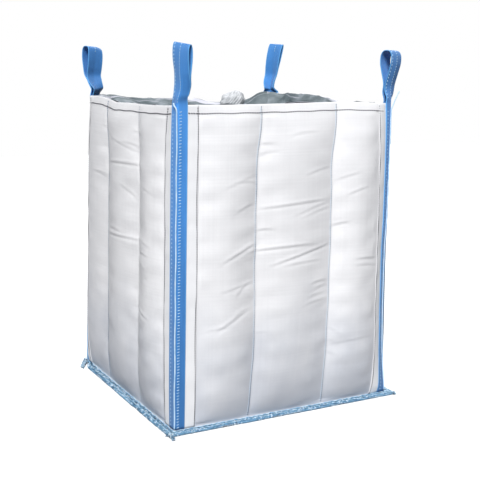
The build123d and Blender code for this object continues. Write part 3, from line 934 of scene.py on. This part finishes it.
# How each loop stands: how high it rises; how wide its outer and inner legs bow, and how round;
# how far it is shifted and leans to the right; how its top tilts and droops; its twist in degrees
# and the height that starts from; and how far it is folded lengthways at FOLD_AT, in degrees
LOOP_SHAPE = [
    dict(rise=0.98, wide=(0.42, 0.36), round=1.0, shift=0.014, lean=0.003, tilt=-0.17,
         droop=0, twist=-20, low=-0.01, fold=(45, 26, 12)),
    dict(rise=0.93, wide=(0.85, 0.95), round=0.8, shift=0.0, lean=0.003, tilt=-0.02,
         droop=3, twist=-24, low=-0.06, fold=(8, 10, 6)),
    dict(rise=1.14, wide=(0.34, 0.3), round=1.0, shift=-0.002, lean=0.018, tilt=-0.05,
         droop=0, twist=-18, low=-0.045, fold=(60, 28, 12)),
    dict(rise=0.95, wide=(1.1, 0.6), round=0.55, shift=0.018, lean=0.005, tilt=-0.1,
         droop=14, twist=-29, low=-0.05, fold=(10, 8, 5)),
]
OUT = [np.array([x, y, 0]) / math.sqrt(2) for x, y in ((-1, -1), (1, -1), (1, 1), (-1, 1))]
JOIN_Z = RIM_Z - 0.012  # below this the webbing lies along the corner


def webbing_rows(c):
    """The middle surface of one corner's webbing: points (rows, columns, 3), and its sewn rows."""
    shape, out = LOOP_SHAPE[c], OUT[c]
    across = np.cross(UP, out)
    start = 0.5 * STRAP * math.sin(math.radians(shape["fold"][0]))
    ends = [float(on_corner(c, 0.0, RIM_Z, offset)[0] @ out) - HINGE_R - start
            for offset in (WEB_MID, WEB_INSIDE)]
    legs = []
    for end, wide, gap in zip(ends, shape["wide"], (0, 0.0028)):
        sign = 1 if gap == 0 else -1
        near = (end + 0.004) * (c > 0)
        leg = []
        for r, z in LEG:
            fade = float(np.interp(z, (-0.03, 0.03), (1, 0)))
            bowed = sign * 0.025 * wide * (max(r, 0) / 0.025) ** shape["round"]
            r = bowed if r > 0 else r + near * fade - gap
            leg.append((r, z * shape["rise"] if z > 0 else z))
        legs.append([(end, JOIN_Z - HINGE_Z), *leg])
    control = [*legs[0], (0, LOOP_TOP[1] * shape["rise"]), *legs[1][::-1]]
    path = smooth_path(control, 116)
    slope = unit(np.gradient(path, axis=0))
    part = np.clip((0.5 - np.linspace(0, 1, len(path))) / 0.2, -1, 1)
    fold = np.radians(np.interp(path[:, 1], FOLD_AT, shape["fold"])) * np.sin(part * math.pi / 2)
    facing = slope[:, 1:] * out - slope[:, :1] * UP
    bent = np.sqrt(WEB_US**2 + 0.005**2) - 0.005
    depth = (0.5 * STRAP - bent) * np.sin(fold)[:, None]
    middle = path[:, :1] * out + path[:, 1:2] * UP
    free = (middle[:, None] + facing[:, None] * depth[..., None]
            + across * (WEB_US * np.cos(fold)[:, None])[..., None])
    above = smooth((path[:, 1:2] - shape["low"]) / 0.07)
    moved = smooth((path[:, 1:2] + 0.062) / 0.085)
    twist = math.radians(shape["twist"]) * above
    x, y = free[..., 0], free[..., 1]
    free = np.stack([x * np.cos(twist) - y * np.sin(twist), x * np.sin(twist) + y * np.cos(twist),
                     free[..., 2]], -1)
    high = np.clip(path[:, 1:2] / 0.15, 0, 1.2)
    aside = free @ RIGHT
    sag = shape["droop"] * np.maximum(aside - 0.004, 0) ** 2
    free[..., 2] += (aside * shape["tilt"] - sag) * high
    free = free + RIGHT * (shape["lean"] * high**1.5 + shape["shift"] * moved)[..., None]
    free = free + HINGE_R * out + HINGE_Z * UP
    z = np.broadcast_to((HINGE_Z + path[:, 1])[:, None], free.shape[:2])
    outside = (np.arange(len(path)) < len(path) // 2)[:, None]
    layer = np.where(outside, WEB_MID, WEB_INSIDE)
    sewn, _ = on_corner(c, WEB_US, np.minimum(z, RIM_Z + 0.05), layer)
    share = smooth((z - RIM_Z - 0.002) / 0.036)[..., None]
    loop = sewn * (1 - share) + free * share
    below = np.linspace(0.009, JOIN_Z, 94, endpoint=False)[:, None]
    strap, _ = on_corner(c, WEB_US[None], below, WEB_MID)
    tail = np.linspace(JOIN_Z, RIM_Z - 0.25, 24)[1:, None]
    leg, _ = on_corner(c, WEB_US[None], tail, WEB_INSIDE)
    return np.concatenate([strap, loop, leg]), len(strap)


def facing_of(points):
    return unit(np.cross(np.gradient(points, axis=1), np.gradient(points, axis=0)))


def bend_at_hinge(obj, c):
    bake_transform(obj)


def on_band(points, normals, v, u_index, lift):
    row = np.clip(v, 0, len(points) - 1.001)
    low = row.astype(int)
    share = (row - low)[:, None]
    at = points[low, u_index] * (1 - share) + points[low + 1, u_index] * share
    facing = normals[low, u_index]
    return at + facing * lift, facing


# A loop's two rows of thread: along its fold and over the top, and a fainter one by its edge.
# For each: its column, its pitch, and its first and last rows above the strap's
FOLD_COLUMN = 15
LOOP_ROWS = ((FOLD_COLUMN, 0.0095, 6, 66), (4, 0.012, 8, 60))
LOOP_LIFT = WEB_T / 2 + 0.0003
for c, corner in enumerate(CORNERS):
    points, sewn_rows = webbing_rows(c)
    normals = facing_of(points)
    half = (WEB_EDGE * WEB_T / 2)[:, None]
    ring = np.concatenate([points + normals * half, (points - normals * half)[:, ::-1]], 1)
    v = lengths(points[:, FOLD_COLUMN])
    u = np.concatenate([WEB_US, WEB_US[::-1]]) + STRAP
    uv = np.stack(np.meshgrid(u, v), -1)
    band = make_object(f"{corner}_webbing", ring, loft_faces(*ring.shape[:2]), uv, WEBBING, True)
    bend_at_hinge(band, c)
    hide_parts(f"corner_strap_{corner}", f"lifting_loop_{corner}", f"inner_leg_{corner}")
    starts, ends, faces = [], [], []
    for column, pitch, first, last in LOOP_ROWS:
        at = np.arange(v[sewn_rows + first], v[sewn_rows + last], pitch)
        rows_a, rows_b = (np.interp(x, v, np.arange(len(v))) for x in (at, at + pitch * 0.6))
        start, facing = on_band(points, normals, rows_a, column, LOOP_LIFT)
        end, _ = on_band(points, normals, rows_b, column, LOOP_LIFT)
        starts.append(start)
        ends.append(end)
        faces.append(facing)
    thread = stitches_object(f"{corner}_loop_thread", starts, ends, faces, 0.0011, PALE)
    bend_at_hinge(thread, c)

# Piping along the fold of each strap; its top end comes away from the webbing
PIPING_R = 0.0024
PIPING_TOP = [  # out, to the right, up: from where the cord leaves the fold near the rim
    [(0.001, -0.002, 0.012), (0.000, -0.009, 0.022), (-0.004, -0.013, 0.030)],
    [(0.008, 0.003, 0.022), (0.017, 0.006, 0.048), (0.026, 0.010, 0.068)],
    [(0.002, 0.002, 0.014), (0.003, 0.006, 0.026), (0.002, 0.010, 0.034)],
    [(0.002, -0.002, 0.014), (0.002, -0.006, 0.024), (0.000, -0.010, 0.030)],
]
for c, corner in enumerate(CORNERS):
    zs = np.linspace(0.013, RIM_Z - 0.022, 160)
    path, _ = on_corner(c, 0.0004 * np.sin(zs * 33), zs, 0.0042 + PIPING_R)
    side = np.cross(UP, OUT[c])
    top = [path[-1] + OUT[c] * out + side * to + UP * up for out, to, up in PIPING_TOP[c]]
    path = np.concatenate([path[:-1], smooth_path([path[-1], *top], 16)])
    cord = tubes_object(f"{corner}_piping", [path], [PIPING_R], PIPING, 10)
    on_bag(cord, "piping", f"corner_piping_{corner}")


# Thread


def run(place, begin, end, pitch, share=0.78):
    """Stitches along a line: place(x) gives a point and the way it faces."""
    at = np.arange(begin, end - pitch, pitch)
    start, facing = place(at)
    finish, _ = place(at + pitch * share)
    return start, finish, facing


def thread_piece(name, runs, radius, material, slot, *nodes):
    starts, ends, faces = zip(*runs)
    on_bag(stitches_object(name, starts, ends, faces, radius, material), slot, *nodes)


HEM_DOWN = 0.026  # the hem's thread, below the rim
SEAM_SINK = [(0, 0), (0, 0), (0, 0), (0, 0.0012)]  # one seam is pulled in deeper than the others


def facing_wall(wall, count):
    return turned(np.array([[0, -1, 0]] * count), wall)


def hem_line(wall):
    def place(a):
        z = RIM_Z - HEM_DOWN + 0.0008 * np.sin(a * 60 + wall)
        lift = 0.0006 + 0.0017 * (half_width(z) - np.abs(a) < BAND)
        return on_wall(wall, a, z, lift), facing_wall(wall, len(a))

    return place


def seam_line(wall, side, shift, sink=0):
    def place(z):
        at = on_wall(wall, seam_at(wall, side, z) + shift, z, 0.0004 - sink)
        return at, facing_wall(wall, len(z))

    return place


def edge_line(corner, u):
    def place(z):
        wander = 0.0017 * np.sin(z * 13 + corner + 5 * u) + 0.0010 * np.sin(z * 29) * (u < 0)
        return on_corner(corner, u + wander, z, STRIP_MID + 0.0011)

    return place


HEM_PITCH, SEAM_PITCH = 0.0095, 0.0085
HEM_END, SEAM_END = RIM_HALF - 0.037, RIM_Z - 0.002
hem = [run(hem_line(k), -HEM_END, HEM_END, HEM_PITCH) for k in range(4)]
thread_piece("hem_thread", hem, 0.0020, DARK, "dark_thread", "hem_stitching")
seams = [run(seam_line(k, s, 0.0, SEAM_SINK[k][s]), 0.014, SEAM_END, SEAM_PITCH)
         for k in range(4) for s in (0, 1)]
thread_piece("seam_thread", seams, 0.0014, SEAM, "seam_thread", "baffle_seam_stitching")
pale = [run(seam_line(k, s, -0.0045), 0.016, RIM_Z - 0.004, SEAM_PITCH, 0.9)
        for k in range(3) for s in (0, 1)]
thread_piece("seam_thread_pale", pale, 0.0010, SOFT, "pale_thread")
edges = [run(edge_line(c, u), 0.012, SEAM_END, SEAM_PITCH)
         for c in range(4) for u in (-0.071, 0.071)]
thread_piece("strip_thread", edges, 0.0016, DARK, "dark_thread", "reinforcement_stitching")


def ladder(corner, u_from, u_to, pitch):
    z = np.arange(0.016, RIM_Z - 0.012, pitch)
    start, facing = on_corner(corner, u_from, z, WEB_MID + 0.0015)
    end, _ = on_corner(corner, u_to, z + 0.0022, WEB_MID + 0.0015)
    return start, end, facing


def strap_line(corner, u):
    return lambda z: on_corner(corner, u, z, WEB_MID + 0.0014)


rungs = [ladder(c, 0.0040, 0.0140, 0.0105) for c in range(4)]
rungs += [run(strap_line(c, -0.022), 0.02, RIM_Z - 0.01, 0.014, 0.4) for c in range(4)]
thread_piece("strap_thread", rungs, 0.0012, PALE, "pale_thread", "strap_stitching")

# Binding of the bottom seam: a covered edge with overlock thread lapped over it
REACH = BASE_HALF + 0.026  # half the length of a side's binding
EDGE_PROFILE = [  # the covered edge: out from the base, and up
    (0.0055, 0.0068), (0.014, 0.0060), (0.026, 0.0066), (0.0335, 0.0062), (0.0362, 0.0046),
    (0.0366, 0.0026), (0.0350, 0.0012), (0.0320, 0.0006),
]
EDGE_COLUMNS = 190
LOOP_PITCH, LOOP_R, LINE_R = 0.0066, 0.0013, 0.0014
LINES = ((0.0070, 0.0078, 0.0), (0.0250, 0.0090, 1.7))  # out, up and phase of its straight threads
LOOSE_ENDS, LOOSE_R = 7, 0.0010
FEW_LOOSE = ((2, 1), (3, -1))  # wall and end: only two at the back left corner
SHORT_LOOSE = ((0, 1), (1, -1))  # and short ones at the front right corner
EARS = [  # where the long end at each wall's left corner starts, and its tip
    ((-0.482, -0.478), (-0.485, -0.517)), ((0.474, -0.478), (0.480, -0.492)),
    ((0.482, 0.476), (0.506, 0.496)), ((-0.462, 0.437), (-0.511, 0.350)),
]
EAR_THREADS, EAR_R, EAR_WIDE = 16, 0.0016, 0.020


def by_seam(points, wall):
    """Points given as along a wall, out from its base and up."""
    return turned([(a, -(BASE_HALF + n), z) for a, n, z in points], wall)


def edge_points(wall):
    a = np.linspace(-1, 1, EDGE_COLUMNS)
    ripple = 0.0012 * waves(a * REACH, a * 0, 80 + wall, 0.03)
    rows = [
        np.stack([a * (REACH + 0.002 * (n > 0.03)), -(BASE_HALF + n + ripple * (n > 0.02)),
                  0 * a + z + 0.0004 * (z > 0.004) * np.abs(ripple) * 800], -1)
        for n, z in EDGE_PROFILE
    ]
    out = [n for n, _ in EDGE_PROFILE]
    uv = np.stack(np.meshgrid(np.linspace(0, 2 * REACH, EDGE_COLUMNS) * 0.25, out), -1)
    return tucked(turned(np.array(rows)[::-1], wall)), uv[..., ::-1]


def lapped(wall, rng):
    """The loops of thread that go over the edge."""
    for x in np.arange(-REACH - 0.004, REACH, LOOP_PITCH):
        x = x + rng.normal(0, 0.0007)
        up_inner, up_outer = np.abs(0.0012 * rng.normal(0, 1, 2))
        inner = 0.0065 + rng.normal(0, 0.0012)
        outer = 0.0375 + rng.normal(0, 0.0009)
        yield by_seam([
            (x, inner, 0.0062), (x + 0.002, 0.0180, 0.0076 + up_inner),
            (x + 0.004, 0.029, 0.0080 + up_outer), (x + 0.0052, 0.0345, 0.0072),
            (x + 0.0058, outer, 0.0050), (x + 0.0052, outer - 0.0005, 0.0022),
            (x + 0.003, 0.0335, 0.0011),
        ], wall)


def loose_ends(wall, rng):
    """The short ends of thread that stick out at both ends of a side."""
    for end in (-1, 1):
        for _ in range(2 if (wall, end) in FEW_LOOSE else LOOSE_ENDS):
            x0, n0 = end * (REACH + 0.002), rng.uniform(0.016, 0.036)
            far = rng.uniform(0.008, 0.020) * (0.3 if (wall, end) in SHORT_LOOSE else 1)
            turn = rng.uniform(-0.9, 0.9)
            dx, dn = end * far * math.cos(turn), far * math.sin(turn) * 0.5
            yield by_seam([
                (x0 - end * 0.006, n0, 0.0070),
                (x0 + dx * 0.35, n0 + dn * 0.3, 0.0075 + rng.uniform(0, 0.004)),
                (x0 + dx * 0.75, n0 + dn * 0.7, 0.0050 + rng.uniform(0, 0.003)),
                (x0 + dx, n0 + dn, 0.0016),
            ], wall)


def ear(wall, rng):
    """The end of the binding, left long at the wall's left corner."""
    tip_a, tip_b = EARS[wall]
    for _ in range(EAR_THREADS):
        share = rng.uniform(-0.5, 0.5)
        aside = np.array([tip_a[1] - tip_b[1], tip_b[0] - tip_a[0]])
        aside *= share * EAR_WIDE / np.linalg.norm(aside)
        t = np.linspace(0, rng.uniform(0.8, 1.05), 9)[:, None]
        flat = np.array(tip_a) * (1 - t) + np.array(tip_b) * t + aside * (1 - 0.3 * t)
        up = 0.0070 + 0.004 * np.sin(t * 3.1) - 0.0045 * t + rng.uniform(-0.001, 0.001)
        flat = flat + 0.0012 * np.sin(t * 20 + share * 9)
        yield np.concatenate([flat, np.maximum(up, 0.0016)], -1)


for k, wall in enumerate(WALLS):
    rng = np.random.default_rng(70 + k)
    laps, ends = list(lapped(k, rng)), list(loose_ends(k, rng))
    ears = list(ear(k, rng))
    radii = [LOOP_R] * len(laps) + [LOOSE_R] * len(ends) + [EAR_R] * len(ears)
    paths = [tucked(path) for path in laps + ends] + ears
    x = np.linspace(-REACH - 0.005, REACH + 0.005, 420)
    lines = [
        tucked(turned(np.stack([x, -(BASE_HALF + n + 0.0012 * np.sin(x * 120 + phase)),
                                z + 0.0006 * np.sin(x * 260)], -1), k))
        for n, z, phase in LINES
    ]
    threads = tubes_object(f"{wall}_binding", paths, radii, BINDING, 5)
    lines = tubes_object(f"{wall}_binding_lines", lines, [LINE_R] * 2, LINE, 6)
    under = sheet_object(f"{wall}_binding_edge", *edge_points(k), EDGE, 0.0009)
    on_bag(threads, "binding_thread", f"bottom_binding_{wall}")
    on_bag(lines, "binding_thread")
    on_bag(under, "binding_thread",
           flat=(2 * REACH, 0.036), held="folded", rests_on=[f"{wall}_wall"])

# Tie: tape wound round the neck
TIE_TURNS, TIE_START, TIE_HALF = 2.2, -1.9, 0.0075
turn = np.linspace(0, 2 * math.pi * TIE_TURNS, 150)
tape_r = NECK_R + 0.0045 + 0.0006 * np.sin(turn * 7)
centre = np.stack([tape_r * np.cos(turn + TIE_START), tape_r * np.sin(turn + TIE_START),
                   NECK_Z + 0.002 + 0.0035 * np.sin(turn * 0.46)], -1)
tape = centre[:, None] + UP * np.linspace(-TIE_HALF, TIE_HALF, 5)[:, None]
tie = sheet_object("tie_tape", tape, grid_uv(tape), TAPE, 0.0009)
on_bag(tie, "tie_tape", "skirt_tie",
       flat=(0.016, 0.5), held="gathered", rests_on=["skirt_sheet"])

# Baffles: flat panels across the corners inside, cut with round holes
BAFFLE_LOW, BAFFLE_HIGH, BAFFLE_WIDE = 0.060, RIM_Z - 0.110, 0.453
HOLE_ROWS, HOLE_COLS, HOLE_R = 5, 2, 0.055
SPOKES, CIRCLES = 48, 6  # of the mesh round each hole
cell_z = (BAFFLE_HIGH - BAFFLE_LOW) / HOLE_ROWS
box = np.array([0.5 / HOLE_COLS, cell_z / 2])
angle = (np.arange(SPOKES) + 0.5) / SPOKES * 2 * math.pi
direction = np.stack([np.cos(angle), np.sin(angle)], -1)
hole = direction * HOLE_R / np.array([BAFFLE_WIDE, 1.0])
edge = direction / np.abs(direction / box).max(-1, keepdims=True)
for c, corner in enumerate(CORNERS):
    vertices, uvs, faces = [], [], []
    for cell in range(HOLE_ROWS * HOLE_COLS):
        row, col = divmod(cell, HOLE_COLS)
        for t in np.arange(CIRCLES) / (CIRCLES - 1):
            local = hole * (1 - t) + edge * t
            s = (0.5 + col) / HOLE_COLS + local[:, 0]
            z = BAFFLE_LOW + cell_z * (row + 0.5) + local[:, 1]
            uvs.append(np.stack([s * BAFFLE_WIDE, z], -1))
            first, last = (on_wall(w, seam_at(w, side, z), z, -0.004)
                           for w, side in ((c, 0), ((c - 1) % 4, 1)))
            p = first * s[:, None] + last * (1 - s[:, None])
            vertices.append(p + OUT[c] * (0.004 * np.sin(math.pi * s) * np.sin(z * 7 + c))[:, None])
        faces.append(grid_faces(CIRCLES, SPOKES, wrap=True) + cell * CIRCLES * SPOKES)
    faces = np.concatenate(faces).tolist()
    baffle = make_object(f"{corner}_baffle", np.concatenate(vertices), faces, np.concatenate(uvs),
                         WOVEN)
    add_thickness(baffle, 0.0010)
    on_bag(baffle, "woven_fabric", f"baffle_{corner}",
           flat=(0.46, 0.96), held="stretched", rests_on=[f"{WALLS[c]}_wall"])

# Floor, light and camera
floor_paint = Paint("floor", 0.9, 0.05)
grain = floor_paint.noise(3.0, 3.0, 3.0)
seen = floor_paint.node("ShaderNodeLightPath").outputs["Is Camera Ray"]
floor_colour = floor_paint.mix(seen, (0.20, 0.20, 0.205), (0.96, 0.96, 0.96))
floor_colour = floor_paint.tint(floor_colour, grain, 0.99, 1.01)
FLOOR_HALF = 9
outline = FLOOR_HALF * np.array([(-1, -1), (1, -1), (1, 1), (-1, 1)])
floor = make_object("floor", [(x, y, -0.0004) for x, y in outline], [(0, 1, 2, 3)],
                    outline + FLOOR_HALF, floor_paint.finish(floor_colour))

world = bpy.data.worlds.new("studio")
bpy.context.scene.world = world
world.use_nodes = True
nodes, links = world.node_tree.nodes, world.node_tree.links
ambient, backdrop = nodes["Background"], nodes.new("ShaderNodeBackground")
for sky, colour, strength in ((ambient, (0.82, 0.89, 1.0, 1), 0.18), (backdrop, (1, 1, 1, 1), 1.0)):
    sky.inputs["Color"].default_value, sky.inputs["Strength"].default_value = colour, strength
switch, ray = nodes.new("ShaderNodeMixShader"), nodes.new("ShaderNodeLightPath")
links.new(ray.outputs["Is Camera Ray"], switch.inputs[0])
links.new(ambient.outputs[0], switch.inputs[1])
links.new(backdrop.outputs[0], switch.inputs[2])
links.new(switch.outputs[0], nodes["World Output"].inputs["Surface"])


def soft_sun(name, azimuth, elevation, strength, angle):
    """A broad, even light. Azimuth 0 comes from in front of the front wall, -90 from the left."""
    light = bpy.data.lights.new(name, "SUN")
    light.energy, light.angle = strength, math.radians(angle)
    obj = bpy.data.objects.new(name, light)
    bpy.context.scene.collection.objects.link(obj)
    az, el = math.radians(azimuth), math.radians(elevation)
    toward = Vector((math.sin(az) * math.cos(el), -math.cos(az) * math.cos(el), math.sin(el)))
    obj.rotation_euler = (-toward).to_track_quat("-Z", "Y").to_euler()


soft_sun("key_light", -36, 43, 4.70, 26)
soft_sun("back_light", 142, 45, 2.3, 45)

CAMERA_AT = (-1.73296, -3.24671, 1.26991)
YAW, PITCH, ROLL = (math.radians(x) for x in (28.716, 10.719, 0.8186))
camera_data = bpy.data.cameras.new("camera")
camera_data.lens, camera_data.sensor_width = 69.855, 36.0
camera = bpy.data.objects.new("camera", camera_data)
bpy.context.scene.collection.objects.link(camera)
ahead = Vector((math.sin(YAW) * math.cos(PITCH), math.cos(YAW) * math.cos(PITCH), -math.sin(PITCH)))
level_right = Vector((math.cos(YAW), -math.sin(YAW), 0))
level_up = level_right.cross(ahead)
right = level_right * math.cos(ROLL) + level_up * math.sin(ROLL)
up = -level_right * math.sin(ROLL) + level_up * math.cos(ROLL)
facing = Matrix((right, up, -ahead)).transposed().to_4x4()
camera.matrix_world = Matrix.Translation(CAMERA_AT) @ facing
bpy.context.scene.camera = camera
bpy.context.scene.view_settings.view_transform = "Standard"
